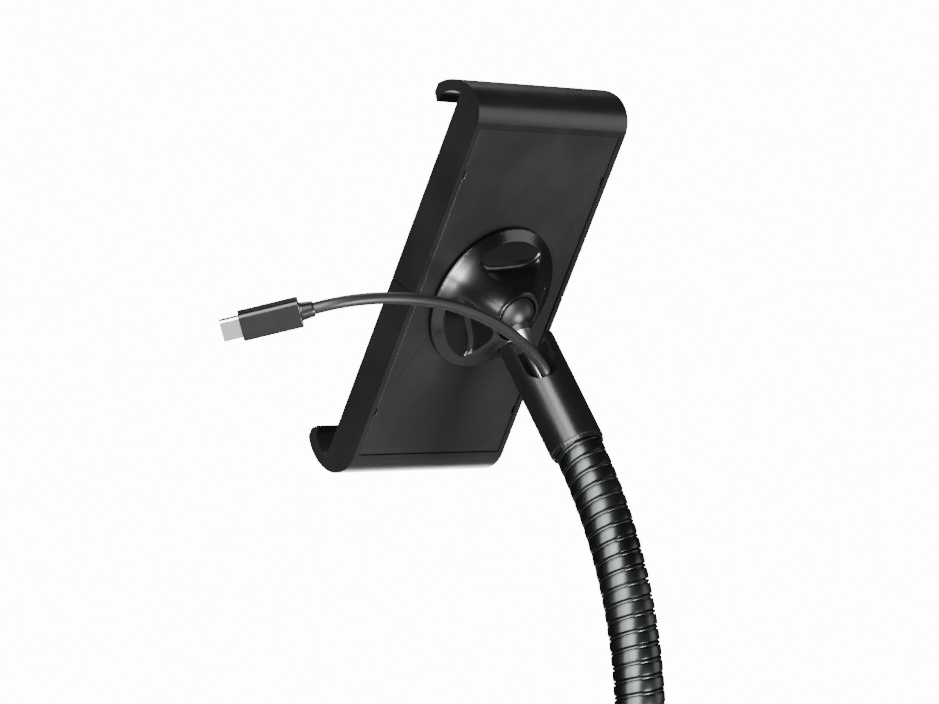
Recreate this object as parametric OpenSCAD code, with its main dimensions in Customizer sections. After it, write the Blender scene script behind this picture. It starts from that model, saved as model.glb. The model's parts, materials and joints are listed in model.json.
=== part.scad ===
// Floor stand for a tablet: weighted base, telescopic column, gooseneck and spring clamp holder.
// Millimetres, Z up. The origin is on the column axis at the level of the floor.

/* [Base and column] */
// Diameter of the cast base
base_d = 260; // [240:5:320]
// Outer radius of the fixed lower tube
lower_tube_r = 12.5; // [12.5:0.5:13]
// Outer radius of the sliding upper tube
upper_tube_r = 9.5; // [9:0.5:9.5]
// Height of the first gooseneck pivot above the floor
neck_z0 = 800; // [760:5:900]

/* [Gooseneck] */
// Outer radius of the wound bands
neck_r = 9; // [8.8:0.1:9.2]
// Length of neck between one winding and the next
neck_pitch = 5.3; // [5.2:0.05:5.4]
// Lean of the neck's top from the vertical, degrees
lean = 34.5; // [30:0.5:38]

/* [Holder] */
// Width of the clamp jaws
jaw_w = 77; // [74:1:90]
// Length of the closed clamp from end to end
holder_l = 155.7; // [150:0.1:170]
// Angle of the holder's back below the horizontal, degrees
tilt = 28.35; // [25:0.05:32]
// How far each jaw slides out
jaw_travel = 35; // [20:1:35]

/* [Lead] */
// Diameter of the charging lead
lead_d = 4.2; // [3.8:0.1:4.4]

/* [Hidden] */
$fn = 72;
link_n = 14;
straight_n = 10;
turns_per_link = 5;

// Neck
link_l = neck_pitch * turns_per_link;
straight_l = link_l * straight_n;
bend_l = link_l * (link_n - straight_n);
bend_r = bend_l / (lean * PI / 180);
ball_out = 58;
z_arc0 = neck_z0 + straight_l;
ball_y = -bend_r * (1 - cos(lean)) - ball_out * sin(lean);
ball_z = z_arc0 + bend_r * sin(lean) + ball_out * cos(lean);
core_r = 8.1;
core_bore_r = 4.5;
band_from = 0.55;
band_w = 3.3;
bead_from = 4.25;
bead_w = 0.7;
bead_r = neck_r - 0.25;
spigot_r = 8.0;
socket_r = 8.3;
spigot_h = 4.2;

// Ball joint
ball_r = 8.5;
cup_in_r = 8.8;
cup_out_r = 9.8;
housing_in_r = 9.88;
housing_out_r = 11;
stud_r = 2.75;
plane_z = -12.1;

// Finger pockets of the knob: steep round walls over a flat floor
pocket_turn = 94;
pocket_at = 28.6;
pocket_floor = -8.4;
pocket_h = 12;
pocket_low_r = 15;
pocket_high_r = 17.8;

// Holder, measured along the back (a) and forward from the back's face (negative c)
half_l = holder_l / 2;
half_w = jaw_w / 2;
wall_t = 2.4;
seam_a = half_l - 11.75;
front_c = -13.1;
plate_t = 2.2;
cover_w = jaw_w - 2 * wall_t - 0.7;
cover_c = -0.3;
core_w = 70.8;
core_l = 128;
core_back_c = -2.2;
core_front_c = -10.6;
hook_back_r = 11.6;
hook_back_a = half_l + 0.35 - hook_back_r;
hook_c = -11.6;
hook_front_r = 17.9;
hook_front_a = half_l + 0.35 - hook_front_r;
hook_in_r = 13.7;
pinion_teeth = 14;
gear_module = 1;
pitch_r = pinion_teeth * gear_module / 2;
rack_c0 = -8.6;
rack_c1 = -4.6;
spring_b = 27;

// Adapter on top of the neck, measured down from the ball's centre
adapter_r = 10.25;
adapter_in_r = 8.3;
adapter_top = -15.6;
adapter_low = -60;
slot_w = 12;
slot_turn = 50;
slot_round = -28.5;
seat_low = -44;
seat_top = -36;
lead_off = 5.9;

// Base and column heights
base_r = base_d / 2;
pad_h = 2;
hub_r = 30;
hub_z = 20;
rim_z = 12.5;
rim_r = base_r - 8;
foot_top = 62;
lower_top = 520;
collar_z = 498;
upper_low = 310;
upper_top = 770;
ferrule_low = 752;
ferrule_top = neck_z0 - 1;

// The coil of lead behind the base, its turns one lead apart
coil_x = -27;
coil_y = 182;
coil_mean_r = 23;
coil_rows = 3;
coil_side = coil_rows * lead_d;
tie_gap = 0.3;
tie_t = 1;

// The supply plug at the lead's far end, lying on the floor beside the coil
supply_y = 166;
supply_z = 4;
supply_boot_l = 10;
supply_plug_l = 19;
tail_x = coil_x - coil_mean_r - lead_d;

// Route of the lead over the base: floor coordinates
lower_route = [
    [0, 20, 50], [0, 28, 50], [0, 35, 49.2], [0, 42, 45.8], [0, 49, 40.4], [0, 56, 33.8],
    [0, 63, 27.6], [0, 71, 23], [0, 80, 20.6], [0, 91, 18.9], [0, 103, 17.4], [0, 113, 16.1],
    [0, 122, 14.8], [0, 130, 13], [0, 138, 9.8], [0, 146, 6.2], [0, 154, 3.6], [0, 163, 2.3],
    [0, 172, 2.1], [0, coil_y, 2.1]];
// Route of the lead from the neck to the plug, measured from the ball's centre
upper_route = [
    [3.8, 29.8, -35.4], [3.8, 27.4, -31.9], [3.8, 25.2, -28.6], [4.1, 23.6, -25.5],
    [5.2, 22.9, -22.3], [8, 23.1, -19], [14.5, 24.5, -14.5], [23.5, 26.5, -10], [34, 28, -5.5],
    [46, 29, -1.5], [58.5, 29, 1.5], [70.5, 28.2, 3.2], [81, 26.5, 3.8], [90, 24, 3.7],
    [98, 20.8, 2.9], [104.3, 17, 1.6], [108.5, 13, 0.2]];
tail_route = [
    [tail_x, 176, 5], [tail_x, 171, 4.3], [tail_x, 168.5, supply_z], [tail_x, supply_y, supply_z]];
plug_dir = [0.702, -0.673, -0.235];
plug_spin = 42;
boot_l = 4.6;
plug_l = 21;
plug_at = upper_route[len(upper_route) - 1];

// Places

// A point s above the first pivot, with Z along the resting neck
module at_neck(s) {
    if (s <= straight_l)
        translate([0, 0, neck_z0 + s]) children();
    else {
        turn = (s - straight_l) / bend_r * 180 / PI;
        translate([0, -bend_r * (1 - cos(turn)), z_arc0 + bend_r * sin(turn)])
            rotate([turn, 0, 0]) children();
    }
}

module at_ball() {
    translate([0, ball_y, ball_z]) rotate([lean, 0, 0]) children();
}

// X across the holder, Y up its back and Z out of its back, from the ball's centre
module at_holder() {
    translate([0, ball_y, ball_z]) rotate([90 + tilt, 0, 180]) children();
}

// The same with Z measured from the back's face
module at_back() {
    at_holder() translate([0, 0, plane_z]) children();
}

// Z out of the lead's end, toward the plug's tip
module at_plug(along) {
    translate([0, ball_y, ball_z]) translate(plug_at + plug_dir * along)
        rotate([0, acos(plug_dir[2]), atan2(plug_dir[1], plug_dir[0])])
            rotate([0, 0, plug_spin]) children();
}

module at_supply(along) {
    translate([tail_x, supply_y - along, supply_z]) rotate([90, 0, 0]) children();
}

// Helpers

function unit(v) = v / norm(v);
function arc_pts(c, r, a0, a1, n) =
    [for (i = [0:n]) c + r * [cos(a0 + (a1 - a0) * i / n), sin(a0 + (a1 - a0) * i / n)]];

// A hollow arc from p to q that sags below its chord
function dished(p, q, sag, n) =
    let (half = norm(q - p) / 2, r = (half * half + sag * sag) / 2 / sag, d = unit(q - p),
        c = (p + q) / 2 + (r - sag) * [d[1], -d[0]],
        a0 = atan2(p[1] - c[1], p[0] - c[0]), a1 = atan2(q[1] - c[1], q[0] - c[0]))
    arc_pts(c, r, a0, a1, n);

module ring(z0, z1, r_out, r_in) {
    translate([0, 0, z0]) difference() {
        cylinder(h = z1 - z0, r = r_out);
        translate([0, 0, -1]) cylinder(h = z1 - z0 + 2, r = r_in);
    }
}

module rounded_bar(w, h, l, r) {
    linear_extrude(l) rounded_rect(w, h, r);
}

module rounded_rect(w, h, r) {
    square([w - 2 * r, h], center = true);
    square([w, h - 2 * r], center = true);
    for (sx = [-1, 1], sy = [-1, 1])
        translate([sx * (w / 2 - r), sy * (h / 2 - r)]) circle(r, $fn = 24);
}

// A round lead swept along its route; side is a direction that no stretch runs along
module swept_lead(route, d, side, sides = 10) {
    n = len(route);
    heading = [for (i = [0:n - 1])
        unit(route[min(i + 1, n - 1)] - route[max(i - 1, 0)])];
    across = [for (i = [0:n - 1]) unit(cross(heading[i], side))];
    up = [for (i = [0:n - 1]) cross(heading[i], across[i])];
    points = [for (i = [0:n - 1], j = [0:sides - 1])
        route[i] + d / 2 * (across[i] * cos(j * 360 / sides) + up[i] * sin(j * 360 / sides))];
    walls = [for (i = [0:n - 2], j = [0:sides - 1])
        [i * sides + j, (i + 1) * sides + j, (i + 1) * sides + (j + 1) % sides,
         i * sides + (j + 1) % sides]];
    first = [for (j = [0:sides - 1]) j];
    last = [for (j = [0:sides - 1]) (n - 1) * sides + sides - 1 - j];
    polyhedron(points, concat(walls, [first], [last]), convexity = 6);
}

// Base

function dome_z(r) = hub_z - (hub_z - rim_z) * pow((r - hub_r) / (rim_r - hub_r), 2);

module base_plate() color("#1d1f1e") {
    edge_r = 4;
    bolt_r = 4.4;
    seat_r = 12;
    skirt_r = 118;
    difference() {
        rotate_extrude($fn = 144) polygon(concat(
            [[bolt_r, pad_h], [bolt_r, hub_z]],
            [for (i = [0:8]) let (r = hub_r + (rim_r - hub_r) * i / 8) [r, dome_z(r)]],
            arc_pts([base_r - edge_r, rim_z - edge_r - 0.8], edge_r, 90, 0, 6),
            [[base_r, pad_h + 1.5], [base_r - 1.5, pad_h]]));
        translate([0, 0, pad_h - 1]) cylinder(h = 8.6, r = seat_r);
        rotate_extrude($fn = 144) polygon([[16, pad_h - 1], [16, 7], [skirt_r - 2, 7],
            [skirt_r, 5], [skirt_r, pad_h - 1]]);
    }
    for (i = [0:5]) rotate([0, 0, 30 + 60 * i]) translate([15, -1.5, pad_h + 1])
        cube([skirt_r - 14, 3, 5]);
}

module base_pad() color("#101010") rotate_extrude($fn = 144)
    polygon([[0, 0], [base_r - 2.6, 0], [base_r - 2, 0.6], [base_r - 2, pad_h], [0, pad_h]]);

module base_washer() color("#b4b6b8") ring(8.1, 9.6, 9, 4.4);

module base_bolt() color("#9a9c9e") {
    difference() {
        translate([0, 0, 3]) cylinder(h = 5.1, r = 6.5);
        translate([0, 0, 2]) cylinder(h = 4, r = 3.46, $fn = 6);
    }
    translate([0, 0, 8.1]) cylinder(h = 20.9, r = 4);
}

module column_foot() color("#1d1f1e") {
    flare = [for (i = [0:8]) let (t = i / 8) [14.6 + 9.4 * pow(1 - t, 2.2), hub_z + 3 + 35 * t]];
    difference() {
        rotate_extrude() polygon(concat([[0, hub_z], [24, hub_z]], flare,
            [[14.6, foot_top - 1], [13.8, foot_top], [0, foot_top]]));
        translate([0, 0, 32]) cylinder(h = 40, r = lower_tube_r);
        translate([0, 0, hub_z - 1]) cylinder(h = 11, r = 4);
        translate([0, 0, 50]) rotate([-90, 0, 0]) cylinder(h = 30, r = 3.6);
    }
}

module foot_grommet() color("#141414") translate([0, 0, 50]) rotate([-90, 0, 0])
    rotate_extrude() polygon([[lead_d / 2, 10.5], [3.6, 10.5], [3.6, 15.8], [5.6, 15.8],
        [5.6, 17.2], [4.4, 18.4], [3.1, 24], [2.7, 26], [lead_d / 2, 26]]);

module lower_tube() color("#202221") difference() {
    ring(32, lower_top, lower_tube_r, lower_tube_r - 1.5);
    translate([0, 0, 50]) rotate([-90, 0, 0]) cylinder(h = 30, r = 3.6);
}

module tube_gland() color("#26282a") rotate_extrude() polygon([[upper_tube_r + 0.06, 488],
    [lower_tube_r - 1.5, 488], [lower_tube_r - 1.5, lower_top], [lower_tube_r, lower_top],
    [lower_tube_r, lower_top + 2.4], [lower_tube_r - 0.6, lower_top + 3],
    [upper_tube_r + 0.06, lower_top + 3]]);

module collar_base() color("#1a1c1b") rotate_extrude() polygon([[lower_tube_r, 492],
    [14.4, 492], [15.3, 493], [15.3, 528], [14.3, 529], [upper_tube_r + 0.4, 529],
    [upper_tube_r + 0.4, 523], [lower_tube_r, 523]]);

module height_collar() color("#161817") difference() {
    rotate_extrude() polygon([[15.6, collar_z], [17.6, collar_z], [18.5, collar_z + 1.2],
        [18.5, 531], [16.5, 534], [upper_tube_r + 0.5, 534], [upper_tube_r + 0.5, 530.6],
        [15.6, 530.6]]);
    for (i = [0:13]) rotate([0, 0, i * 360 / 14]) translate([19.6, 0, collar_z + 4])
        cylinder(h = 24, r = 1.9, $fn = 24);
}

module upper_tube() color("#202221") ring(upper_low, upper_top, upper_tube_r, upper_tube_r - 1.2);

module glide_bush() color("#2a2c2e") rotate_extrude() polygon([[upper_tube_r, upper_low],
    [lower_tube_r - 1.95, upper_low], [lower_tube_r - 1.55, upper_low + 1],
    [lower_tube_r - 1.55, upper_low + 24], [lower_tube_r - 1.95, upper_low + 25],
    [upper_tube_r, upper_low + 25]]);

module neck_ferrule() color("#1c1e1d") {
    rotate_extrude() polygon([[upper_tube_r, ferrule_low], [10.6, ferrule_low],
        [11, ferrule_low + 0.6], [11, ferrule_top - 3], [10.3, ferrule_top],
        [4.7, ferrule_top], [4.7, upper_top], [upper_tube_r, upper_top]]);
    at_neck(0) neck_spigot();
}

// Gooseneck

// The ball-shaped end that the next link turns on
module neck_spigot() {
    difference() {
        union() {
            translate([0, 0, -2.5]) cylinder(h = 3.7, r = spigot_r - 0.2);
            intersection() {
                sphere(spigot_r);
                translate([0, 0, 0.2]) cylinder(h = spigot_h - 0.2, r = socket_r + 1);
            }
        }
        translate([0, 0, -3]) cylinder(h = 10, r = 4.7);
    }
}

module neck_core(s0, s1, r) {
    if (s0 < straight_l)
        at_neck(s0) cylinder(h = s1 - s0, r = r);
    else {
        turn0 = (s0 - straight_l) / bend_r * 180 / PI;
        turn = (s1 - s0) / bend_r * 180 / PI;
        translate([0, -bend_r, z_arc0]) rotate([90, 0, 90]) rotate([0, 0, turn0])
            rotate_extrude(angle = turn, $fn = 144) translate([bend_r, 0]) circle(r, $fn = 48);
    }
}

// Five turns of the winding: a wide band and a narrow bead each
module neck_link(k) color("#242625") {
    s0 = (k - 1) * link_l;
    difference() {
        union() {
            neck_core(s0 + 0.2, s0 + link_l - 1.2, core_r);
            for (i = [0:turns_per_link - 1]) {
                at_neck(s0 + i * neck_pitch + band_from + band_w / 2)
                    ring(-band_w / 2, band_w / 2, neck_r, core_r - 1);
                at_neck(s0 + i * neck_pitch + bead_from + bead_w / 2)
                    ring(-bead_w / 2, bead_w / 2, bead_r, core_r - 1);
            }
        }
        neck_core(s0 - 0.5, s0 + link_l + 0.5, core_bore_r);
        at_neck(s0) intersection() {
            sphere(socket_r);
            translate([0, 0, -10]) cylinder(h = 14.8, r = socket_r + 1);
        }
    }
    if (k < link_n)
        at_neck(s0 + link_l) neck_spigot();
    else
        at_ball() rotate_extrude() polygon([[4.7, -60.5], [7.8, -60.5], [7.8, -57.5],
            [adapter_in_r, -57.5], [adapter_in_r, seat_low - 2], [4.7, seat_low - 2]]);
}

// Adapter, stud and ball

module top_adapter() color("#191b1a") at_ball() difference() {
    rotate_extrude() polygon([[adapter_in_r + 1, adapter_low], [adapter_r - 0.4, adapter_low],
        [adapter_r, adapter_low + 0.5], [adapter_r, adapter_top - 0.4],
        [adapter_r - 0.4, adapter_top], [adapter_in_r + 0.3, adapter_top],
        [adapter_in_r, adapter_top - 0.4], [adapter_in_r, adapter_low + 4],
        [adapter_in_r + 1, adapter_low + 4]]);
    rotate([0, 0, slot_turn]) translate([0, 0, slot_round]) rotate([0, 90, 0]) {
        cylinder(h = 20, r = slot_w / 2);
        translate([-20, -slot_w / 2, 0]) cube([20, slot_w, 20]);
    }
}

module stud_seat() color("#8d9093") at_ball() difference() {
    translate([0, 0, seat_low]) cylinder(h = seat_top - seat_low, r = adapter_in_r);
    translate([0, 0, seat_low - 1]) cylinder(h = 12, r = stud_r + 0.05);
    rotate([0, 0, slot_turn]) translate([lead_off, 0, seat_low - 1]) {
        cylinder(h = 12, r = lead_d / 2 + 0.25);
        translate([0, -lead_d / 2 - 0.25, 0]) cube([6, lead_d + 0.5, 12]);
    }
}

module ball_stud() color("#2a2c2c") at_ball() {
    sphere(ball_r);
    translate([0, 0, seat_low + 0.5]) cylinder(h = -seat_low - 2, r = stud_r);
    translate([0, 0, -12.6]) cylinder(h = 6, r1 = stud_r, r2 = stud_r + 1.6);
}

module ball_cup() color("#303234") at_holder() difference() {
    rotate_extrude() polygon([[0, -10.6], [cup_out_r, -10.6], [cup_out_r, 0.5], [9, 3.2], [0, 3.2]]);
    sphere(cup_in_r);
    cylinder(h = 8, r = 8.35);
    for (i = [0:1]) rotate([0, 0, 45 + 90 * i]) translate([-15, -0.5, -2]) cube([30, 1, 10]);
}

module socket_housing() color("#1b1d1c") at_holder() difference() {
    rotate_extrude() polygon([[0, plane_z + cover_c], [17.8, plane_z + cover_c], [17.8, -11.3], [17.2, -10.7],
        [housing_out_r, -10.7], [housing_out_r, -2.8], [housing_out_r - 0.6, -2.2],
        [housing_in_r, -2.2], [housing_in_r, -10.9], [0, -10.9]]);
    for (i = [0:3]) rotate([0, 0, 90 * i]) translate([15.75, 0, plane_z - 1])
        cylinder(h = 5, r = 1.1, $fn = 24);
}

module housing_screws() color("#8d9093") at_holder() {
    for (i = [0:3]) rotate([0, 0, 90 * i]) translate([15.75, 0, 0]) difference() {
        union() {
            translate([0, 0, plane_z - 8]) cylinder(h = 9.4, r = 1.1, $fn = 24);
            translate([0, 0, -10.7]) cylinder(h = 1.2, r = 1.7, $fn = 24);
        }
        for (q = [0, 90]) rotate([0, 0, q]) translate([-1.1, -0.2, -10.1]) cube([2.2, 0.4, 2]);
    }
}

// Knob: a threaded ring with a low cone and three finger pockets
module lock_knob() color("#1a1c1b") at_holder() {
    flank = dished([24, -8.2], [10.5, 3.6], 0.9, 8);
    bore_r = housing_out_r + 0.3;
    grip_r = cup_out_r + 0.4;
    difference() {
        rotate_extrude($fn = 96) polygon(concat(
            [[18.1, -11.6], [28.1, -11.6], [28.4, -11.3], [28.4, -10.4], [28, -10.2]],
            flank,
            [[9.6, 4.5], [8.1, 4.1], [8.1, 3.6], [9.4, 3.6], [grip_r, 0.8],
             [grip_r, -1.8], [bore_r, -1.8], [bore_r, -9.2], [18.1, -9.2]]));
        for (i = [0:2]) rotate([0, 0, pocket_turn + 120 * i])
            translate([pocket_at, 0, pocket_floor])
                cylinder(h = pocket_h, r1 = pocket_low_r, r2 = pocket_high_r);
    }
}

// Holder

module back_cover() color("#232625") at_back() difference() {
    translate([-cover_w / 2, -seam_a + 0.15, core_back_c])
        cube([cover_w, 2 * seam_a - 0.3, cover_c - core_back_c]);
    for (sx = [-1, 1], sy = [-1, 1])
        translate([sx * (cover_w / 2 + 0.3) - 1, sy * 48 - 1.5, -4]) cube([2, 3, 5]);
    for (i = [0:3]) rotate([0, 0, 90 * i]) translate([15.75, 0, -4])
        cylinder(h = 5, r = 1.1, $fn = 24);
}

module core_frame() color("#2a2d2c") at_back() {
    floor_c = core_front_c + 1.6;
    difference() {
        translate([-core_w / 2, -core_l / 2, core_front_c])
            cube([core_w, core_l, core_back_c - core_front_c]);
        translate([-core_w / 2 + 2.2, -core_l / 2 - 1, floor_c])
            cube([core_w - 4.4, core_l + 2, 12]);
        for (sx = [-1, 1]) translate([sx * core_w / 2 - 1.2, -core_l / 2 - 1, -7.4])
            cube([2.4, core_l + 2, 2.6]);
    }
    for (i = [0:3]) rotate([0, 0, 90 * i]) translate([15.75, 0, floor_c - 0.2]) difference() {
        cylinder(h = core_back_c - floor_c + 0.2, r = 2.4, $fn = 32);
        translate([0, 0, -1]) cylinder(h = 12, r = 1.1, $fn = 24);
    }
    translate([0, 0, floor_c - 0.2]) difference() {
        cylinder(h = rack_c1 - floor_c + 0.1, r = 2.55);
        cylinder(h = 12, r = 1.1, $fn = 24);
    }
}

// Straight-flanked tooth of a rack, at pitch height 0
function rack_tooth(at, m) = [[at - 1.13 * m, -1.2 * m], [at - 0.48 * m, 0.7 * m],
    [at + 0.48 * m, 0.7 * m], [at + 1.13 * m, -1.2 * m]];

// Outline of a jaw's end, seen from the side: a along the holder, c forward
module jaw_end_outline() {
    polygon(concat(
        [[seam_a, 0]],
        arc_pts([hook_back_a, hook_c], hook_back_r, 90, 0, 10),
        arc_pts([hook_front_a, hook_c], hook_front_r, 0, -48.9, 8),
        [[68.5, -25.1], [65.9, -22.5], [66.1, -22.2]],
        arc_pts([hook_front_a, hook_c], hook_in_r, -50.7, -6.3, 7),
        [[seam_a, front_c]]));
}

module jaw_end_hollow() {
    intersection() {
        union() {
            translate([hook_back_a, hook_c]) circle(hook_back_r - 2.2);
            translate([seam_a - 5, hook_c]) square([hook_back_a - seam_a + 5, hook_back_r - 2.2]);
        }
        translate([seam_a - 6, front_c + plate_t]) square([20, -2.2 - front_c - plate_t]);
    }
}

// An outline in (a, c) drawn out across the holder
module across(w) {
    rotate([90, 0, 90]) translate([0, 0, -w / 2]) linear_extrude(w) children();
}

module jaw() {
    inner_w = jaw_w - 2 * wall_t;
    difference() {
        union() {
            across(jaw_w) jaw_end_outline();
            translate([-half_w, 0.15, front_c]) cube([jaw_w, seam_a + 5, plate_t]);
            for (sx = [-1, 1]) translate([sx * (half_w - wall_t / 2) - wall_t / 2, 0.15, front_c])
                cube([wall_t, seam_a + 2, -front_c]);
        }
        across(inner_w) jaw_end_hollow();
    }
    for (sx = [-1, 1]) translate([sx * (inner_w / 2 + 0.2) - (sx + 1) / 2 * 1.3, 4, -7])
        cube([1.3, seam_a - 4, 1.8]);
    jaw_rack();
    translate([-spring_b, 69, front_c + 1]) cylinder(h = 9.5, r = 1.4, $fn = 32);
    translate([spring_b, 69, front_c + 1]) cylinder(h = 9.5, r = 1.4, $fn = 32);
}

// The bar beside the pinion, with teeth toward the middle
module jaw_rack() {
    tip_a = -jaw_travel - 10;
    step = PI * gear_module;
    last = -floor((-tip_a - 0.8) / step);
    translate([0, 0, rack_c0]) linear_extrude(rack_c1 - rack_c0) {
        translate([pitch_r + 1.1, tip_a]) square([4.9, 75.2 - tip_a]);
        for (i = [last:-1]) translate([pitch_r, 0]) rotate([0, 0, 90])
            polygon(rack_tooth((i + 0.5) * step, gear_module));
        for (i = [0:1]) translate([pitch_r, 0]) rotate([0, 0, 90])
            polygon(rack_tooth((i + 0.5) * step, gear_module));
    }
}

module pad() {
    across(64) polygon([[20, front_c - 1], [73.2, front_c - 1], [73.2, front_c], [20, front_c]]);
}

module upper_jaw() color("#1c1e1d") at_back() jaw();
module upper_pad() color("#0e0f0f") at_back() pad();
module lower_jaw() color("#1c1e1d") at_back() rotate([0, 0, 180]) jaw();
module lower_pad() color("#0e0f0f") at_back() rotate([0, 0, 180]) pad();

module sync_pinion() color("#c9c8c2") at_back() translate([0, 0, rack_c0 + 0.3]) difference() {
    linear_extrude(rack_c1 - rack_c0 - 0.6) union() {
        circle(pitch_r - 1.2);
        for (i = [0:pinion_teeth - 1]) rotate([0, 0, i * 360 / pinion_teeth])
            polygon([[pitch_r - 1.4, -1.05], [pitch_r, -0.72], [pitch_r + 0.85, -0.3],
                [pitch_r + 0.85, 0.3], [pitch_r, 0.72], [pitch_r - 1.4, 1.05]]);
    }
    translate([0, 0, -1]) cylinder(h = 8, r = 2.6);
}

module pinion_screw() color("#8d9093") at_back() {
    translate([0, 0, -8.8]) cylinder(h = 4.4, r = 1.1, $fn = 24);
    translate([0, 0, rack_c1 - 0.1]) cylinder(h = 1.3, r = 3.6, $fn = 32);
}

// Close-wound spring from one jaw's post to the other's
module close_spring(b) {
    coil_l = 36;
    coil_c = -5.4;
    translate([b, 0, coil_c]) rotate([-90, 0, 0]) {
        rotate_extrude($fn = 32) polygon(concat([[1.3, -coil_l / 2]],
            [for (i = [0:coil_l - 1]) each [[2.1, i - coil_l / 2], [2.5, i + 0.5 - coil_l / 2]]],
            [[2.1, coil_l / 2], [1.3, coil_l / 2]]));
        for (s = [-1, 1]) translate([1.9, 0, s > 0 ? coil_l / 2 - 0.5 : -67.9])
            cylinder(h = 67.9 - coil_l / 2 + 0.5, r = 0.4, $fn = 16);
    }
    for (s = [-1, 1]) translate([b, s * 69, coil_c]) rotate_extrude($fn = 32)
        translate([2.2, 0]) circle(0.4, $fn = 16);
}

module spring_left() color("#b9bcbf") at_back() close_spring(-spring_b);
module spring_right() color("#b9bcbf") at_back() close_spring(spring_b);

// Leads and plugs

module lower_lead() color("#1a1a1a") swept_lead(lower_route, lead_d, [1, 0, 0]);
module upper_lead() color("#1a1a1a") translate([0, ball_y, ball_z])
    swept_lead(upper_route, lead_d, [0, 0.82, 0.57]);
module lead_tail() color("#1a1a1a") swept_lead(tail_route, lead_d, [1, 0, 0]);

module lead_coil() color("#1a1a1a") translate([coil_x, coil_y, 0]) rotate_extrude($fn = 96)
    translate([coil_mean_r - coil_side / 2, 0]) square(coil_side);

module coil_tie() color("#101010") translate([coil_x, coil_y + coil_mean_r, 0]) difference() {
    outer = coil_side + 2 * (tie_gap + tie_t);
    inner = coil_side + 2 * tie_gap;
    translate([-2.5, -outer / 2, 0]) cube([5, outer, coil_side + tie_gap + tie_t]);
    translate([-3, -inner / 2, -1]) cube([6, inner, coil_side + tie_gap + 1]);
}

module supply_boot() color("#141414") at_supply(0)
    rotate_extrude() polygon([[0, 0], [2.7, 0], [3.4, 6], [3.4, supply_boot_l],
        [0, supply_boot_l]]);

module supply_plug() color("#141414") at_supply(supply_boot_l)
    rounded_bar(16, 7.6, supply_plug_l, 2);

module supply_shell() color("#c4c6c8") at_supply(supply_boot_l + supply_plug_l) difference() {
    rounded_bar(12, 4.5, 12, 0.4);
    translate([0, 0, 0.5]) linear_extrude(12) square([11.2, 3.7], center = true);
}

module lead_boot() color("#141414") at_plug(0) cylinder(h = boot_l, r1 = 2.7, r2 = 3.3);

module device_plug() color("#171717") at_plug(boot_l) rounded_bar(10.5, 5.5, plug_l, 1.6);

module device_shell() color("#c4c6c8") at_plug(boot_l + plug_l) difference() {
    rounded_bar(8.34, 2.56, 6.65, 1.2);
    translate([0, 0, 0.6]) rounded_bar(7.6, 1.8, 7, 0.85);
}

// Drawing

base_plate();
base_pad();
base_bolt();
base_washer();
column_foot();
foot_grommet();
lower_tube();
tube_gland();
collar_base();
height_collar();
lower_lead();
lead_coil();
coil_tie();
lead_tail();
supply_boot();
supply_plug();
supply_shell();
upper_tube();
glide_bush();
neck_ferrule();
for (k = [1:link_n]) neck_link(k);
top_adapter();
stud_seat();
upper_lead();
lead_boot();
device_plug();
device_shell();
ball_stud();
ball_cup();
socket_housing();
housing_screws();
core_frame();
back_cover();
spring_left();
spring_right();
pinion_screw();
sync_pinion();
lock_knob();
upper_jaw();
upper_pad();
lower_jaw();
lower_pad();
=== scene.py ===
"""Looks of a floor stand for a tablet: clamp holder, ball joint, gooseneck, column and charging lead."""
import json
import math

import bmesh
import bpy
from mathutils import Matrix, Vector


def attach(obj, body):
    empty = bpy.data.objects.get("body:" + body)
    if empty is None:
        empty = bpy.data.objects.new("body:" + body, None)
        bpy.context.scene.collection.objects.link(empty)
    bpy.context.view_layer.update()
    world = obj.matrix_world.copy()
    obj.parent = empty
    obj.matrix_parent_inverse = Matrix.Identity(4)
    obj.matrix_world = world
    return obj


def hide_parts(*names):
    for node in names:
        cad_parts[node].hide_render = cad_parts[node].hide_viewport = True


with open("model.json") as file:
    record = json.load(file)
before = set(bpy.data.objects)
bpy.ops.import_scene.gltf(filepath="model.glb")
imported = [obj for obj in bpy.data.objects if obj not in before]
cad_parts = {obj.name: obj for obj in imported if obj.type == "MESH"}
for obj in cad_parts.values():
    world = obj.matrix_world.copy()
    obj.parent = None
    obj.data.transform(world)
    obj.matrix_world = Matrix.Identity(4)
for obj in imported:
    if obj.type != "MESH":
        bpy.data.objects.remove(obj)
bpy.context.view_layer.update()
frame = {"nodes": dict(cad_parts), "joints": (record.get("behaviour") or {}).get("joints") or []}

MM = 0.001

# Places that the frame gives
NODES = frame["nodes"]
JOINTS = {j["name"]: j for j in frame["joints"]}
BALL = Vector(JOINTS["ball_tilt"]["pos_m"])
NECK_UP = Vector(JOINTS["ball_pan"]["axis"]).normalized()
BACK_OUT = Vector(JOINTS["holder_roll"]["axis"]).normalized()
BACK_UP = Vector(JOINTS["upper_jaw_slide"]["axis"]).normalized()
NECK_LINKS = sum(1 for name in JOINTS if name.startswith("neck_bend_"))
PIVOTS = [Vector(JOINTS["neck_bend_%d" % (k + 1)]["pos_m"]) for k in range(NECK_LINKS)]
LINK_L = PIVOTS[1].z - PIVOTS[0].z
# The neck is straight over its lower links and then bends on one radius
STRAIGHT_LINKS = sum(1 for p in PIVOTS if abs(p.y) < 1e-6) - 1
LEAN = math.atan2(-NECK_UP.y, NECK_UP.z)
BEND_R = (NECK_LINKS - STRAIGHT_LINKS) * LINK_L / LEAN

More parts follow.
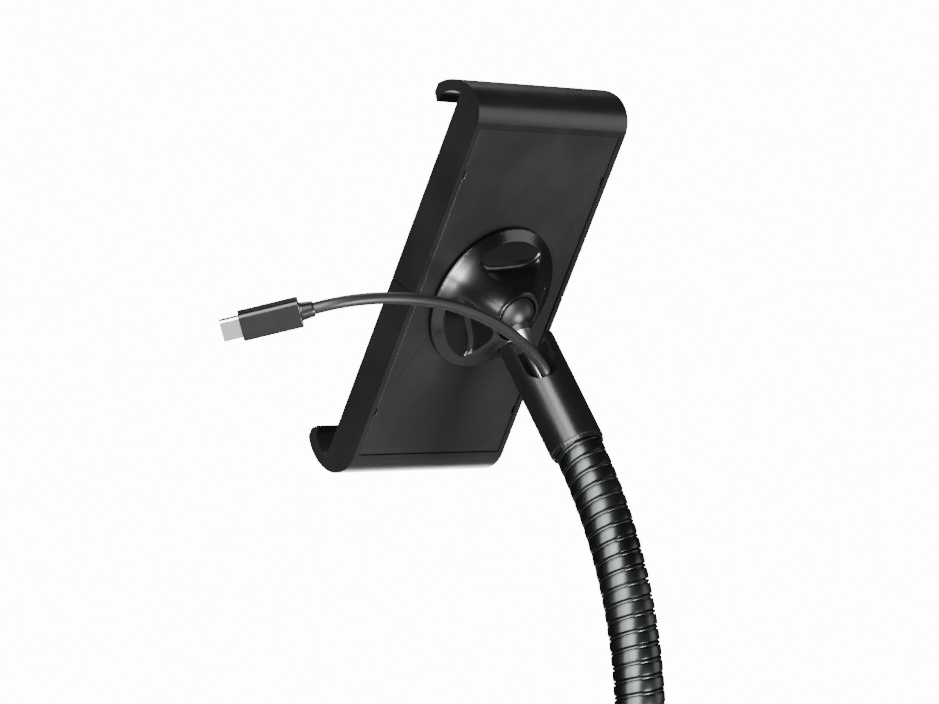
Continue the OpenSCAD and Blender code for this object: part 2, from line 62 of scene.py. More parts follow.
# Sizes that the photograph gives, in millimetres
LEAD_D = 4.2
NECK_R = 9.0
GROOVE_R = 8.3
BAND, BAND_GROOVE, BEAD = 3.6, 0.3, 1.1
TURNS_PER_LINK = 5
LINER_R, LINER_CROWN, LINER_REACH = 7.95, 0.1, 3.4
ADAPTER_TOP, ADAPTER_LOW = -15.6, -60.0
ADAPTER_R = 10.25
ADAPTER_BORE_R = 8.3
SLOT_W = 12.0
SLOT_TURN = math.radians(47.5)
SLOT_ROUND_Z = -27.4
# The rim stands this much higher on the side away from the slot
RIM_RISE = 2.2
BALL_R = 8.5
# The ball's round begins this many degrees up from its foot
BALL_FOOT_TURN = 31
STUD_R = 2.75
STUD_TOP = -9.6
KNOB_R = 28.4
# Three finger pockets in degrees round the knob, which rests a little turned
POCKET_TURNS = [96, 216, 336]
POCKET_AT = 28.6
POCKET_FLOOR = -8.4
POCKET_H = 12.0
# Half lengths along and across, and how square the outline is
POCKET_FLOOR_FORM = (15.2, 16.2, 4.0)
POCKET_BRIM_FORM = (17.8, 17.6, 4.0)
POCKET_FILLET = 1.4

# Route of the lead over the base, in millimetres from the middle of the base
LOWER_ROUTE = [
    (0, 20, 50), (0, 28, 50), (0, 35, 49.2), (0, 42, 45.8), (0, 49, 40.4), (0, 56, 33.8),
    (0, 63, 27.6), (0, 71, 23), (0, 80, 20.6), (0, 91, 18.9), (0, 103, 17.4), (0, 113, 16.1),
    (0, 122, 14.8), (0, 130, 13), (0, 138, 9.8), (0, 146, 6.2), (0, 154, 3.6), (0, 163, 2.3),
    (0, 172, 2.1)]
COIL_X, COIL_Y = -27.0, 182.0
COIL_R = 23.0
# Where each turn of the coil lies: steps out from the middle turn, and layer
COIL_TURNS = [(1, 0), (0, 0), (-1, 0), (-1, 1), (-1, 2), (0, 2), (0, 1), (1, 1)]
# From the coil's end to the supply plug: y and z
TAIL_ROUTE = [(176, 5.0), (171, 4.3), (168.5, 4.0), (165.5, 4.0)]
# Route of the lead from the neck to the plug, in millimetres from the ball's centre
UPPER_ROUTE = [
    (3.8, 29.8, -35.4), (3.8, 27.4, -31.9), (3.8, 25.2, -28.6), (4.1, 23.6, -25.5),
    (5.2, 22.9, -22.3), (8, 23.1, -19), (14.5, 24.5, -14.5), (23.5, 26.5, -10), (34, 28, -5.5),
    (46, 29, -1.5), (58.5, 29, 1.5), (70.5, 28.2, 3.2), (81, 26.5, 3.8), (90, 24, 3.7),
    (98, 20.8, 2.9), (104.3, 17, 1.6), (108.5, 13, 0.2)]
PLUG_DIR = Vector((0.702, -0.673, -0.235)).normalized()
# The plug's wide face looks at the camera and a little down
PLUG_SPIN = math.radians(-26)
BOOT_L = 4.6
PLUG_W, PLUG_T, PLUG_L = 10.5, 5.5, 21.0
PLUG_CORNER, PLUG_EDGE = 1.6, 0.45
SHELL_W, SHELL_T, SHELL_L = 8.34, 2.56, 6.65
SHELL_WALL = 0.37

# How broad the clouds of wear are, and how far they shift the roughness
CLOUD_MM = 22
SMUDGE = 0.05
PLASTIC_IOR = 1.5

# Camera and light
CAMERA_FROM_BALL = Vector((932.3, 918.5, -14.6)) * MM
CAMERA_TURN = math.radians(135.23)
LENS, SENSOR = 138.05, 36
TO_CAMERA = Vector((math.sin(CAMERA_TURN), -math.cos(CAMERA_TURN), 0))
RIGHT = Vector((math.cos(CAMERA_TURN), math.sin(CAMERA_TURN), 0))
UP = Vector((0, 0, 1))
# The white backdrop is bright to the camera and gives the object almost no light
BACKDROP_SEEN, BACKDROP_LIGHT = 14.0, 0.05
FLOOR_R = 2.2
FLOOR_Z = -0.0004


def linear(hex_colour):
    """An sRGB hex colour as the linear RGBA that the shaders take."""
    parts = [int(hex_colour[i:i + 2], 16) / 255 for i in (1, 3, 5)]
    return [c / 12.92 if c <= 0.04045 else ((c + 0.055) / 1.055) ** 2.4 for c in parts] + [1.0]


def add(tree, kind, settings=None, links=None):
    """A node of that kind with its settings, and its inputs linked to the given outputs."""
    node = tree.nodes.new(kind)
    for key, value in (settings or {}).items():
        if isinstance(key, int) or key in node.inputs:
            node.inputs[key].default_value = value
        else:
            setattr(node, key, value)
    for key, source in (links or {}).items():
        tree.links.new(source, node.inputs[key])
    return node


def finish_of(name, colour, roughness, grain_mm, grain_depth_mm, metallic=0.0, speckle=0.12):
    """A surface with a fine grain: its colour and gloss wander a little, as on a used one."""
    mat = bpy.data.materials.new(name)
    mat.use_nodes = True
    tree = mat.node_tree
    tree.nodes.clear()
    place = add(tree, "ShaderNodeTexCoord").outputs["Object"]
    grain = add(tree, "ShaderNodeTexNoise",
                {"Scale": 1 / (grain_mm * MM), "Detail": 3.0, "Roughness": 0.6}, {"Vector": place})
    cloud = add(tree, "ShaderNodeTexNoise",
                {"Scale": 1 / (CLOUD_MM * MM), "Detail": 2.0}, {"Vector": place})
    base = linear(colour)
    dark = [c * (1 - speckle) for c in base[:3]] + [1.0]
    pale = [c * (1 + speckle) for c in base[:3]] + [1.0]
    tint = add(tree, "ShaderNodeMix", {"data_type": "RGBA", 6: dark, 7: pale},
               {0: grain.outputs["Fac"]})
    gloss = add(tree, "ShaderNodeMapRange",
                {"From Min": 0.3, "From Max": 0.7, "To Min": roughness - SMUDGE,
                 "To Max": roughness + SMUDGE}, {"Value": cloud.outputs["Fac"]})
    bump = add(tree, "ShaderNodeBump", {"Strength": 0.5, "Distance": grain_depth_mm * MM},
               {"Height": grain.outputs["Fac"]})
    shader = add(tree, "ShaderNodeBsdfPrincipled", {"Metallic": metallic, "IOR": PLASTIC_IOR},
                 {"Base Color": tint.outputs[2], "Roughness": gloss.outputs["Result"],
                  "Normal": bump.outputs["Normal"]})
    add(tree, "ShaderNodeOutputMaterial", {}, {"Surface": shader.outputs["BSDF"]})
    return mat


# ABS moulded in a fine spark-eroded texture: a soft sheen and no sharp reflections
ABS_COVER = finish_of("textured_abs", "#0b0d0c", 0.4, 0.35, 0.012)
# The same ABS from a smoother tool: the jaws' round edges catch a narrower light
ABS_JAW = finish_of("satin_abs", "#0c0d0d", 0.34, 0.3, 0.008)
# ABS from a polished tool: the knob takes a clear glare and is nearly black beside it
ABS_KNOB = finish_of("knob_abs", "#050606", 0.2, 0.45, 0.012)
# Inner mouldings straight from the tool: a dull black, slightly paler
ABS_INNER = finish_of("inner_abs", "#101111", 0.45, 0.3, 0.01)
# Powder coat on aluminium and steel: a black gloss broken by a fine orange peel
POWDER_COAT = finish_of("powder_coat", "#0a0b0b", 0.3, 0.5, 0.02)
# Blackened spring steel of the winding: dark metal with a soft bright band along the neck
NECK_STEEL = finish_of("blackened_steel", "#424444", 0.31, 0.4, 0.012, metallic=1.0)
# Cast iron under matte paint: a dull black with a coarser grain
CAST_PAINT = finish_of("painted_cast_iron", "#0d0e0e", 0.5, 0.8, 0.04)
# Black oxide on a turned ball: a small soft glint on near black
BLACK_OXIDE = finish_of("black_oxide", "#101111", 0.38, 0.3, 0.006)
# Zinc plate: a pale satin metal that stands out beside the black
ZINC = finish_of("zinc_plate", "#b9bbbd", 0.32, 0.3, 0.006, metallic=1.0)
# Nickel plate of the plug shells: the palest metal, with a sharper gloss than zinc
NICKEL = finish_of("nickel_plate", "#d9dbdc", 0.22, 0.3, 0.003, metallic=1.0)
# PVC jacket dusted with talc: one soft line of light along the lead
PVC = finish_of("pvc_jacket", "#0d0e0e", 0.45, 0.3, 0.008)
# Overmoulded plug: a darker skin than the lead, with a narrow light on its edges
TPE = finish_of("plug_tpe", "#060707", 0.3, 0.25, 0.008)
# Rubber pads: a dull black
RUBBER = finish_of("pad_rubber", "#0c0c0c", 0.7, 0.5, 0.02)
# Closed-cell foam under the base: the dullest black, with open grain
FOAM = finish_of("eva_foam", "#0e0e0e", 0.85, 0.6, 0.06)
# Natural nylon gear: milky white
NYLON = finish_of("natural_nylon", "#cfccc0", 0.4, 0.5, 0.008)
# Paper roll under the stand: pale grey without any gloss
PAPER = finish_of("floor_paper", "#b6b6b4", 0.9, 2.0, 0.02, speckle=0.01)


def axes_at(origin, x, y, z):
    """The matrix of a place with those axes."""
    m = Matrix((x, y, z)).transposed().to_4x4()
    m.translation = origin
    return m


HOLDER = axes_at(BALL, Vector((-1, 0, 0)), BACK_UP, BACK_OUT)
ADAPTER = axes_at(BALL, Vector((1, 0, 0)), NECK_UP.cross(Vector((1, 0, 0))), NECK_UP)
WORLD = Matrix.Identity(4)


def neck_point(s):
    """Centre, sideways and backward directions of the neck, s metres above its first pivot."""
    side = Vector((1, 0, 0))
    bend_from = STRAIGHT_LINKS * LINK_L
    turn = max(0.0, s - bend_from) / BEND_R
    back = Vector((0, math.cos(turn), math.sin(turn)))
    if s <= bend_from:
        return PIVOTS[0] + Vector((0, 0, s)), side, back
    base = PIVOTS[0] + Vector((0, 0, bend_from))
    centre = base + Vector((0, -BEND_R * (1 - math.cos(turn)), BEND_R * math.sin(turn)))
    return centre, side, back


def shade_smooth(mesh):
    """Smooth shading on every face of the mesh."""
    mesh.polygons.foreach_set("use_smooth", [True] * len(mesh.polygons))


def piece(name, mesh, material, body, replaces=(), matrix=WORLD):
    """An object of that mesh on its body, standing for its CAD nodes."""
    obj = bpy.data.objects.new(name, mesh)
    bpy.context.scene.collection.objects.link(obj)
    mesh.transform(matrix)
    if isinstance(mesh, bpy.types.Mesh):
        shade_smooth(mesh)
    mesh.materials.append(material)
    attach(obj, body)
    if replaces:
        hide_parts(*replaces)
    return obj


def even_normals(obj):
    """Shading that leans on the larger faces, so flats stay flat beside their rounds."""
    even = obj.modifiers.new("even_normals", "WEIGHTED_NORMAL")
    even.keep_sharp = True


def crisp(obj, angle=35):
    """Shading that stays flat on flats and breaks only at edges sharper than angle."""
    obj.data.set_sharp_from_angle(angle=math.radians(angle))
    even_normals(obj)
    return obj


def soften(obj, width_mm, segments, angle, weld=False):
    """Small rounds along every sharp edge, as a mould gives."""
    if weld:
        join = obj.modifiers.new("join", "WELD")
        join.merge_threshold = 1e-6
    bevel = obj.modifiers.new("edge_round", "BEVEL")
    bevel.width = width_mm * MM
    bevel.segments = segments
    bevel.limit_method = "ANGLE"
    bevel.angle_limit = math.radians(angle)
    bevel.harden_normals = True
    bevel.miter_outer = "MITER_ARC"


def settle(obj):
    """Turns the object's modifiers into its mesh."""
    bpy.context.view_layer.update()
    graph = bpy.context.evaluated_depsgraph_get()
    done = bpy.data.meshes.new_from_object(obj.evaluated_get(graph), depsgraph=graph)
    obj.modifiers.clear()
    obj.data = done


def cut(obj, cutter):
    """Takes the cutter's shape out of the object."""
    change = obj.modifiers.new("cut", "BOOLEAN")
    change.operation = "DIFFERENCE"
    change.object = cutter
    change.solver = "EXACT"
    settle(obj)
    bpy.data.objects.remove(cutter)


def loose(name, mesh, matrix):
    """A tool shape that only cuts others."""
    obj = bpy.data.objects.new(name, mesh)
    bpy.context.scene.collection.objects.link(obj)
    mesh.transform(matrix)
    return obj


def open_mesh(name, bm):
    """The mesh of those faces as they were drawn."""
    mesh = bpy.data.meshes.new(name)
    bm.to_mesh(mesh)
    bm.free()
    return mesh


def closed_mesh(name, bm):
    """The mesh of a closed body, with all its faces turned outward."""
    bmesh.ops.recalc_face_normals(bm, faces=bm.faces)
    return open_mesh(name, bm)


def bridge(bm, low, high):
    """A band of faces between two closed loops of vertices."""
    n = len(low)
    for i in range(n):
        k = (i + 1) % n
        bm.faces.new((low[i], low[k], high[k], high[i]))


def rounded(corners, steps=5):
    """An outline whose corners are (radius, height) or, to be rounded, also give a rounding."""
    out = []
    n = len(corners)
    for i, corner in enumerate(corners):
        p = Vector(corner[:2])
        if len(corner) == 2:
            out.append(p)
            continue
        a = Vector(corners[i - 1][:2]) - p
        b = Vector(corners[(i + 1) % n][:2]) - p
        reach = min(corner[2] / math.tan(a.angle(b) / 2), 0.45 * a.length, 0.45 * b.length)
        start = p + a.normalized() * reach
        end = p + b.normalized() * reach
        for k in range(steps + 1):
            t = k / steps
            out.append((1 - t) ** 2 * start + 2 * t * (1 - t) * p + t * t * end)
    return out


def lathe_mesh(name, outline, segments):
    """A closed outline of (radius, height) in millimetres turned round Z."""
    bm = bmesh.new()
    rings = []
    for p in outline:
        if p.x < 1e-6:
            rings.append([bm.verts.new((0, 0, p.y * MM))] * segments)
            continue
        rings.append([
            bm.verts.new((p.x * MM * math.cos(2 * math.pi * j / segments),
                          p.x * MM * math.sin(2 * math.pi * j / segments), p.y * MM))
            for j in range(segments)])
    for i, ring in enumerate(rings):
        above = rings[(i + 1) % len(rings)]
        for j in range(segments):
            k = (j + 1) % segments
            corners = []
            for v in (ring[j], ring[k], above[k], above[j]):
                if v not in corners:
                    corners.append(v)
            if len(corners) > 2:
                bm.faces.new(corners)
    return closed_mesh(name, bm)


def turned(name, outline, material, body, replaces, matrix):
    """A turned piece with crisp edges."""
    mesh = lathe_mesh(name, [Vector(p) for p in outline], 96)
    return crisp(piece(name, mesh, material, body, replaces, matrix))


def catmull(points, per_span):
    """A smooth line through the points."""
    out = []
    n = len(points)
    for i in range(n - 1):
        p0 = points[max(i - 1, 0)]
        p1 = points[i]
        p2 = points[i + 1]
        p3 = points[min(i + 2, n - 1)]
        for k in range(per_span):
            t = k / per_span
            out.append(0.5 * (2 * p1 + (p2 - p0) * t + (2 * p0 - 5 * p1 + 4 * p2 - p3) * t * t
                              + (3 * p1 - p0 - 3 * p2 + p3) * t ** 3))
    out.append(points[-1])
    return out


def round_lead(name, points, body, replaces):
    """The lead as a round curve along the points, in metres."""
    curve = bpy.data.curves.new(name, "CURVE")
    curve.dimensions = "3D"
    curve.bevel_depth = LEAD_D / 2 * MM
    curve.bevel_resolution = 6
    curve.use_fill_caps = True
    spline = curve.splines.new("POLY")
    spline.points.add(len(points) - 1)
    for point, p in zip(spline.points, points):
        point.co = (p.x, p.y, p.z, 1)
    spline.use_smooth = True
    return piece(name, curve, PVC, body, replaces)


def coil_points(per_turn=40):
    """The coiled stretch, half a turn over: each turn slides to its own place in its first sixth."""
    points = []
    turns = len(COIL_TURNS)
    total = int((turns + 0.5) * per_turn)
    for i in range(total + 1):
        k = min(i // per_turn, turns - 1)
        t = min(1.0, (i - k * per_turn) / (per_turn / 6))
        t = t * t * (3 - 2 * t)
        now = COIL_TURNS[k]
        before = COIL_TURNS[max(k - 1, 0)]
        out = before[0] + (now[0] - before[0]) * t
        layer = before[1] + (now[1] - before[1]) * t
        angle = 2 * math.pi * i / per_turn
        r = COIL_R + out * LEAD_D
        points.append(Vector((COIL_X + r * math.cos(angle), COIL_Y + r * math.sin(angle),
                              LEAD_D / 2 + layer * LEAD_D)))
    return points


# Camera

camera_data = bpy.data.cameras.new("photo_camera")
camera_data.sensor_width = SENSOR
camera_data.lens = LENS
camera_data.clip_start = 0.05
camera_data.clip_end = 50
camera = bpy.data.objects.new("photo_camera", camera_data)
camera.location = BALL + CAMERA_FROM_BALL
camera.rotation_euler = (math.pi / 2, 0, CAMERA_TURN)
bpy.context.scene.collection.objects.link(camera)
bpy.context.scene.camera = camera

# Leads

upper_points = [BALL + Vector(p) * MM for p in UPPER_ROUTE]
upper_line = catmull(upper_points, 6)
upper_lead = round_lead("charging_lead", upper_line, "adapter", ["upper_lead"])

route = [Vector(p) for p in LOWER_ROUTE]
coil = coil_points()
tail = [Vector((coil[-1].x, y, z)) for y, z in TAIL_ROUTE]
lower_line = catmull([p * MM for p in route + [coil[0]]], 4)[:-1]
lower_line += [p * MM for p in coil] + catmull([p * MM for p in [coil[-1]] + tail], 4)[1:]
lower_lead = round_lead("supply_lead", lower_line, "stand",
                        ["lower_lead", "lead_coil", "lead_tail"])


def rounded_loop(bm, wide, thick, corner, z, steps=8):
    """A loop of vertices on a rounded rectangle."""
    loop = []
    for quarter, (sx, sy) in enumerate(((1, 1), (-1, 1), (-1, -1), (1, -1))):
        for i in range(steps + 1):
            a = math.pi / 2 * (quarter + i / steps)
            x = sx * (wide / 2 - corner) + corner * math.cos(a)
            y = sy * (thick / 2 - corner) + corner * math.sin(a)
            loop.append(bm.verts.new((x * MM, y * MM, z * MM)))
    return loop


def bar_mesh(name, loops):
    """A body through rounded loops of (width, thickness, corner, height), closed at both ends."""
    bm = bmesh.new()
    rows = [rounded_loop(bm, *loop) for loop in loops]
    for low, high in zip(rows, rows[1:]):
        bridge(bm, low, high)
    bm.faces.new(rows[0])
    bm.faces.new(rows[-1])
    return closed_mesh(name, bm)


def plug_loops():
    """The plug's body, its ends rounded over a short edge."""
    turns = [math.pi / 2 * i / 4 for i in range(5)]
    edge = [(PLUG_EDGE * (1 - math.sin(a)), PLUG_EDGE * (1 - math.cos(a))) for a in turns]
    loops = []
    for end, way in ((BOOT_L, 1), (BOOT_L + PLUG_L, -1)):
        row = [(PLUG_W - 2 * inset, PLUG_T - 2 * inset, PLUG_CORNER - inset, end + way * rise)
               for inset, rise in edge]
        loops += row if way > 0 else row[::-1]
    return loops


def shell_loops():
    """The plug's metal shell: its outside, its mouth and the wall inside."""
    root = BOOT_L + PLUG_L
    mouth = root + SHELL_L
    inner_w, inner_t = SHELL_W - 2 * SHELL_WALL, SHELL_T - 2 * SHELL_WALL
    return [(SHELL_W, SHELL_T, 1.25, root - 0.3), (SHELL_W, SHELL_T, 1.25, mouth - 0.1),
            (SHELL_W - 0.2, SHELL_T - 0.2, 1.15, mouth), (inner_w, inner_t, 0.88, mouth),
            (inner_w, inner_t, 0.88, root + 0.6)]


PLUG = (Matrix.Translation(upper_points[-1])
        @ Matrix.Rotation(math.atan2(PLUG_DIR.y, PLUG_DIR.x), 4, "Z")
        @ Matrix.Rotation(math.acos(PLUG_DIR.z), 4, "Y") @ Matrix.Rotation(PLUG_SPIN, 4, "Z"))
plug_body = crisp(piece("device_plug_body", bar_mesh("device_plug", plug_loops()), TPE, "adapter",
                        ["device_plug"], PLUG))
plug_shell = crisp(piece("device_plug_shell", bar_mesh("device_shell", shell_loops()), NICKEL,
                         "adapter", ["device_shell"], PLUG))

# Gooseneck


def winding_outline():
    """Radius along one pitch, from 0 to 1: wide band, black groove, bead and thin groove."""
    pitch = LINK_L / MM / TURNS_PER_LINK
    bead_from = BAND + BAND_GROOVE
    points = [
        (0.0, 8.5), (0.03, 8.78), (0.12, 8.93), (0.35, NECK_R), (1.3, NECK_R + 0.04),
        (2.4, NECK_R + 0.04), (BAND - 0.3, NECK_R), (BAND - 0.1, 8.92), (BAND - 0.03, 8.78),
        (BAND, GROOVE_R), (bead_from, GROOVE_R), (bead_from + 0.03, 8.65),
        (bead_from + 0.2, 8.84), (bead_from + 0.55, 8.9), (bead_from + 0.9, 8.84),
        (bead_from + BEAD - 0.03, 8.65), (bead_from + BEAD, GROOVE_R)]
    return [(s / pitch, r) for s, r in points]


def winding_mesh(k, steps=72):
    """Five turns of the wound steel strip, right-handed, on link k.

    The last link has one turn more, which runs on inside the adapter.
    """
    pitch = LINK_L / TURNS_PER_LINK
    outline = winding_outline()
    turns = TURNS_PER_LINK + (1 if k == NECK_LINKS - 1 else 0)
    bm = bmesh.new()
    columns = []
    for j in range(steps + 1):
        angle = 2 * math.pi * j / steps
        column = []
        for turn in range(turns):
            for t, r in outline:
                s = k * LINK_L + (turn + t + j / steps - 0.5) * pitch
                centre, side, back = neck_point(s)
                out = side * math.cos(angle) + back * math.sin(angle)
                column.append(bm.verts.new(centre + out * r * MM))
        columns.append(column)
    for left, right in zip(columns, columns[1:]):
        for i in range(len(left) - 1):
            bm.faces.new((left[i], right[i], right[i + 1], left[i + 1]))
    return open_mesh("winding", bm)


def liner_mesh(k, steps=48, rows=9):
    """The dark flexible liner that shows in the grooves between two links."""
    bm = bmesh.new()
    rings = []
    for i in range(rows):
        t = 2 * i / (rows - 1) - 1
        centre, side, back = neck_point(k * LINK_L + t * LINER_REACH * MM)
        r = LINER_R - LINER_CROWN * abs(t)
        rings.append([
            bm.verts.new(centre + (side * math.cos(a) + back * math.sin(a)) * r * MM)
            for a in [2 * math.pi * j / steps for j in range(steps)]])
    for low, high in zip(rings, rings[1:]):
        bridge(bm, low, high)
    return open_mesh("liner", bm)


for k in range(NECK_LINKS):
    body = "adapter" if k == NECK_LINKS - 1 else "link_%d" % (k + 1)
    winding = piece("neck_winding_%d" % (k + 1), winding_mesh(k), NECK_STEEL, body,
                    ["neck_link_%d" % (k + 1)])
    crisp(winding, 40)

for k in range(NECK_LINKS):
    body = "mast" if k == 0 else "link_%d" % k
    piece("neck_liner_%d" % (k + 1), liner_mesh(k), ABS_INNER, body)

# Knob


def dished(a, b, sag, steps):
    """The knob's cone from a to b in its section: a shallow hollow arc."""
    middle = (a + b) / 2
    half = (b - a).length / 2
    big = (half * half + sag * sag) / 2 / sag
    along = (b - a).normalized()
    inward = Vector((-along.y, along.x))
    arc = []
    for i in range(steps + 1):
        p = a + (b - a) * i / steps
        off = (p - middle).length
        arc.append(p + inward * (math.sqrt(big * big - off * off) - (big - sag)))
    return arc


def knob_outline():
    """The knob's section: flange, hollow cone, mouth and the bore over the housing."""
    grip_r, bore_r, skirt_r = 10.2, 11.3, 18.1
    flange = rounded([(skirt_r, -11.6), (KNOB_R, -11.6, 0.4), (KNOB_R, -10.3, 0.4)])
    cone = dished(Vector((24, -8.2)), Vector((10.5, 3.6)), 0.9, 20)
    mouth = rounded([(10.5, 3.6), (9.6, 4.5, 0.4), (8.1, 4.1, 0.3), (8.1, 3.6)])[1:]
    bore = [(9.4, 3.6), (grip_r, 0.8), (grip_r, -1.8), (bore_r, -1.8), (bore_r, -9.2),
            (skirt_r, -9.2)]
    return flange + cone + mouth + [Vector(p) for p in bore]


def pocket_cutter(steps=6, sides=192):
    """A finger pocket: a wide scoop with a rounded floor edge, from its floor up past the cone."""
    levels = []
    for i in range(steps + 1):
        a = math.pi / 2 * i / steps
        levels.append((POCKET_FILLET * (1 - math.cos(a)), POCKET_FILLET * (math.sin(a) - 1)))
    levels.append((POCKET_H, 0))
    bm = bmesh.new()
    rings = []
    for rise, inset in levels:
        t = rise / POCKET_H
        along, across, square = [
            f + (b - f) * t for f, b in zip(POCKET_FLOOR_FORM, POCKET_BRIM_FORM)]
        ring = []
        for j in range(sides):
            c = math.cos(2 * math.pi * j / sides)
            s = math.sin(2 * math.pi * j / sides)
            x = (along + inset) * math.copysign(abs(c) ** (2 / square), c)
            y = (across + inset) * math.copysign(abs(s) ** (2 / square), s)
            ring.append(bm.verts.new((x * MM, y * MM, (POCKET_FLOOR + rise) * MM)))
        rings.append(ring)
    bm.faces.new(rings[0])
    bm.faces.new(rings[-1])
    for low, high in zip(rings, rings[1:]):
        bridge(bm, low, high)
    return closed_mesh("pocket_cutter", bm)


knob = piece("clamp_knob", lathe_mesh("knob", knob_outline(), 192), ABS_KNOB, "knob",
             ["lock_knob"], HOLDER)
for turn in POCKET_TURNS:
    place = Matrix.Rotation(math.radians(turn), 4, "Z") @ Matrix.Translation(
        (POCKET_AT * MM, 0, 0))
    cut(knob, loose("pocket_tool", pocket_cutter(), HOLDER @ place))
# An even fine net lets one short smoothing round every moulded edge
net = knob.modifiers.new("even_net", "REMESH")
net.mode = "VOXEL"
net.voxel_size = 0.3 * MM
ease = knob.modifiers.new("mould_rounds", "SMOOTH")
ease.factor = 0.5
ease.iterations = 2
settle(knob)
shade_smooth(knob.data)

# Adapter


def slot_cutter():
    """A bar with a round end, wide as the slot, from the tube's middle outward."""
    half = SLOT_W / 2
    outline = [(half * math.cos(a), SLOT_ROUND_Z + half * math.sin(a))
               for a in [math.pi + math.pi * i / 40 for i in range(41)]]
    outline += [(half, 0), (-half, 0)]
    bm = bmesh.new()
    near = [bm.verts.new((0, y * MM, z * MM)) for y, z in outline]
    far = [bm.verts.new((2 * ADAPTER_R * MM, y * MM, z * MM)) for y, z in outline]
    bm.faces.new(near)
    bm.faces.new(far)
    bridge(bm, near, far)
    return closed_mesh("slot_cutter", bm)


adapter_outline = [
    (ADAPTER_BORE_R + 1, ADAPTER_LOW), (ADAPTER_R - 0.5, ADAPTER_LOW),
    (ADAPTER_R - 0.35, ADAPTER_LOW + 1.2), (ADAPTER_R, ADAPTER_LOW + 1.4), (ADAPTER_R, ADAPTER_TOP),
    (ADAPTER_BORE_R, ADAPTER_TOP), (ADAPTER_BORE_R, ADAPTER_LOW + 4),
    (ADAPTER_BORE_R + 1, ADAPTER_LOW + 4)]
adapter_mesh = lathe_mesh("adapter", [Vector(p) for p in adapter_outline], 160)
for vert in adapter_mesh.vertices:
    if vert.co.z > (ADAPTER_TOP - 0.1) * MM:
        away = (1 - math.cos(math.atan2(vert.co.y, vert.co.x) - SLOT_TURN)) / 2
        vert.co.z += RIM_RISE * MM * away
adapter = piece("slotted_adapter", adapter_mesh, POWDER_COAT, "adapter", ["top_adapter"], ADAPTER)
cut(adapter, loose("slot_tool", slot_cutter(), ADAPTER @ Matrix.Rotation(SLOT_TURN, 4, "Z")))
soften(adapter, 0.45, 4, 40)
settle(adapter)
shade_smooth(adapter.data)
crisp(adapter, 50)

# Ball and stud

ball_bow = [math.radians(BALL_FOOT_TURN + (180 - BALL_FOOT_TURN) * i / 48) for i in range(48)]
turned("ball", [(0, STUD_TOP), (3.55, STUD_TOP), (4.35, -7.3)]
       + [(BALL_R * math.sin(a), -BALL_R * math.cos(a)) for a in ball_bow] + [(0, BALL_R)],
       BLACK_OXIDE, "stud", ["ball_stud"], ADAPTER)
turned("stud_shank", [(0, -44), (STUD_R, -44), (STUD_R, -12.9), (3.6, STUD_TOP), (0, STUD_TOP)],
       ZINC, "stud", ["ball_stud"], ADAPTER)

# Plain CAD pieces with their finishes

FINISHES = {
    "base_pad": FOAM, "base_bolt": ZINC, "base_washer": ZINC, "column_foot": POWDER_COAT,
    "base_plate": CAST_PAINT, "foot_grommet": RUBBER, "lower_tube": POWDER_COAT,
    "tube_gland": ABS_INNER, "collar_base": ABS_JAW, "height_collar": ABS_JAW,
    "upper_tube": POWDER_COAT, "glide_bush": ABS_INNER, "neck_ferrule": POWDER_COAT,
    "coil_tie": RUBBER, "supply_boot": TPE, "supply_plug": TPE, "supply_shell": NICKEL,
    "stud_seat": ABS_INNER, "lead_boot": TPE,
    "ball_cup": ABS_INNER, "socket_housing": ABS_JAW, "housing_screws": ZINC,
    "core_frame": ABS_INNER, "back_cover": ABS_COVER, "spring_left": ZINC,
    "spring_right": ZINC, "pinion_screw": ZINC, "sync_pinion": NYLON, "upper_jaw": ABS_JAW,
    "lower_jaw": ABS_JAW, "upper_pad": RUBBER, "lower_pad": RUBBER}
PLAIN_EDGE = 0.15
EDGE_ROUND = {
    "upper_jaw": 0.5, "lower_jaw": 0.5, "back_cover": 0.3, "supply_plug": 0.5, "coil_tie": 0.2,
    "height_collar": 0.3, "core_frame": 0.2}

for name, material in FINISHES.items():
    node = NODES[name]
    node.data.materials.clear()
    node.data.materials.append(material)
    shade_smooth(node.data)
    soften(node, EDGE_ROUND.get(name, PLAIN_EDGE), 3, 35, weld=True)
    even_normals(node)

# Stage

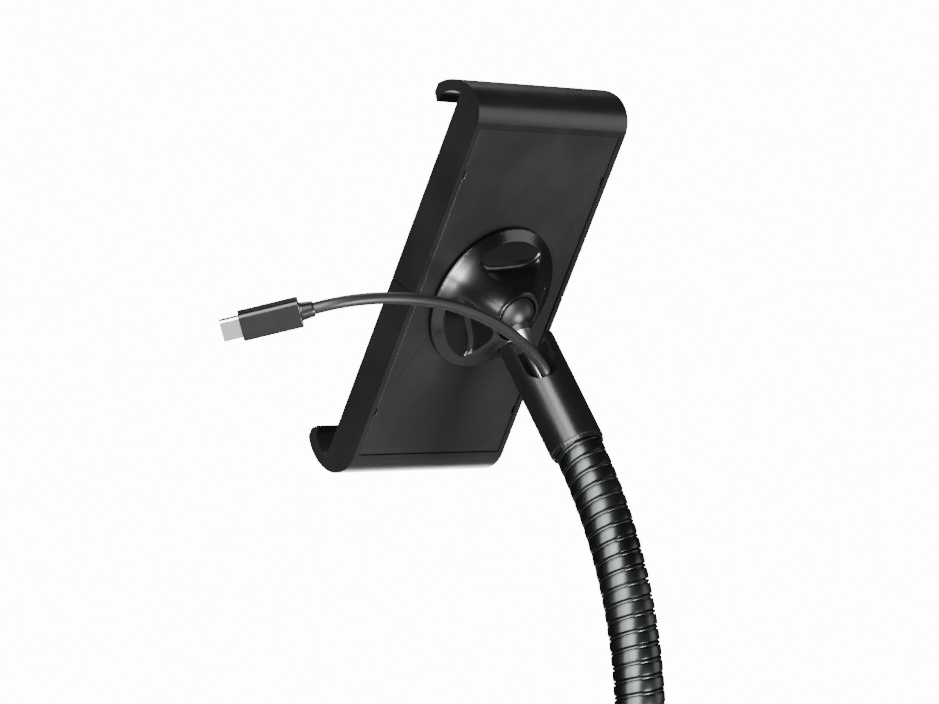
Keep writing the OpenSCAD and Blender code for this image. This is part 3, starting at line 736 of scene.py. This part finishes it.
world = bpy.data.worlds.new("studio")
bpy.context.scene.world = world
world.use_nodes = True
sky = world.node_tree
sky.nodes.clear()
seen = add(sky, "ShaderNodeBackground", {"Color": (1, 1, 1, 1), "Strength": BACKDROP_SEEN})
lit = add(sky, "ShaderNodeBackground", {"Color": (1, 1, 1, 1), "Strength": BACKDROP_LIGHT})
ray = add(sky, "ShaderNodeLightPath")
both = add(sky, "ShaderNodeMixShader", {}, {
    0: ray.outputs["Is Camera Ray"], 1: lit.outputs["Background"],
    2: seen.outputs["Background"]})
add(sky, "ShaderNodeOutputWorld", {}, {"Surface": both.outputs["Shader"]})

floor_bm = bmesh.new()
bmesh.ops.create_circle(floor_bm, cap_ends=True, radius=FLOOR_R, segments=96)
floor_mesh = open_mesh("floor", floor_bm)
floor_mesh.materials.append(PAPER)
floor = bpy.data.objects.new("floor", floor_mesh)
floor.location.z = FLOOR_Z
bpy.context.scene.collection.objects.link(floor)


def from_camera(right_deg, up_deg):
    """The direction that many degrees right of the camera and above it, seen from the ball."""
    a = math.radians(right_deg)
    e = math.radians(up_deg)
    return (TO_CAMERA * math.cos(a) + RIGHT * math.sin(a)) * math.cos(e) + UP * math.sin(e)


def softbox(name, right_deg, up_deg, distance, width, height, power):
    """A softbox that looks at the ball from that direction, in degrees, metres and watts."""
    direction = from_camera(right_deg, up_deg).normalized()
    data = bpy.data.lights.new(name, "AREA")
    data.energy = power
    data.shape = "RECTANGLE"
    data.size = width
    data.size_y = height
    obj = bpy.data.objects.new(name, data)
    obj.location = BALL + direction * distance
    obj.rotation_euler = direction.to_track_quat("Z", "Y").to_euler()
    bpy.context.scene.collection.objects.link(obj)


# Two tall boxes left of the camera, the near one brighter, draw the long bands of light
softbox("near_box", -15, 14, 1.6, 0.86, 1.9, 90)
softbox("left_box", -43, 2, 1.7, 0.7, 2.0, 38)
# Weak boxes above, on the right and low behind lift the far edges off the black
softbox("top_box", 175, 66, 1.1, 0.6, 0.6, 5)
softbox("right_box", 92, 2, 1.6, 0.9, 0.9, 5)
softbox("low_back_box", 178, -22, 1.4, 0.7, 0.3, 12)
# A small box from below shows in the creases of the knob's pockets
softbox("knob_box", 42, -30, 1.4, 0.3, 0.3, 38)
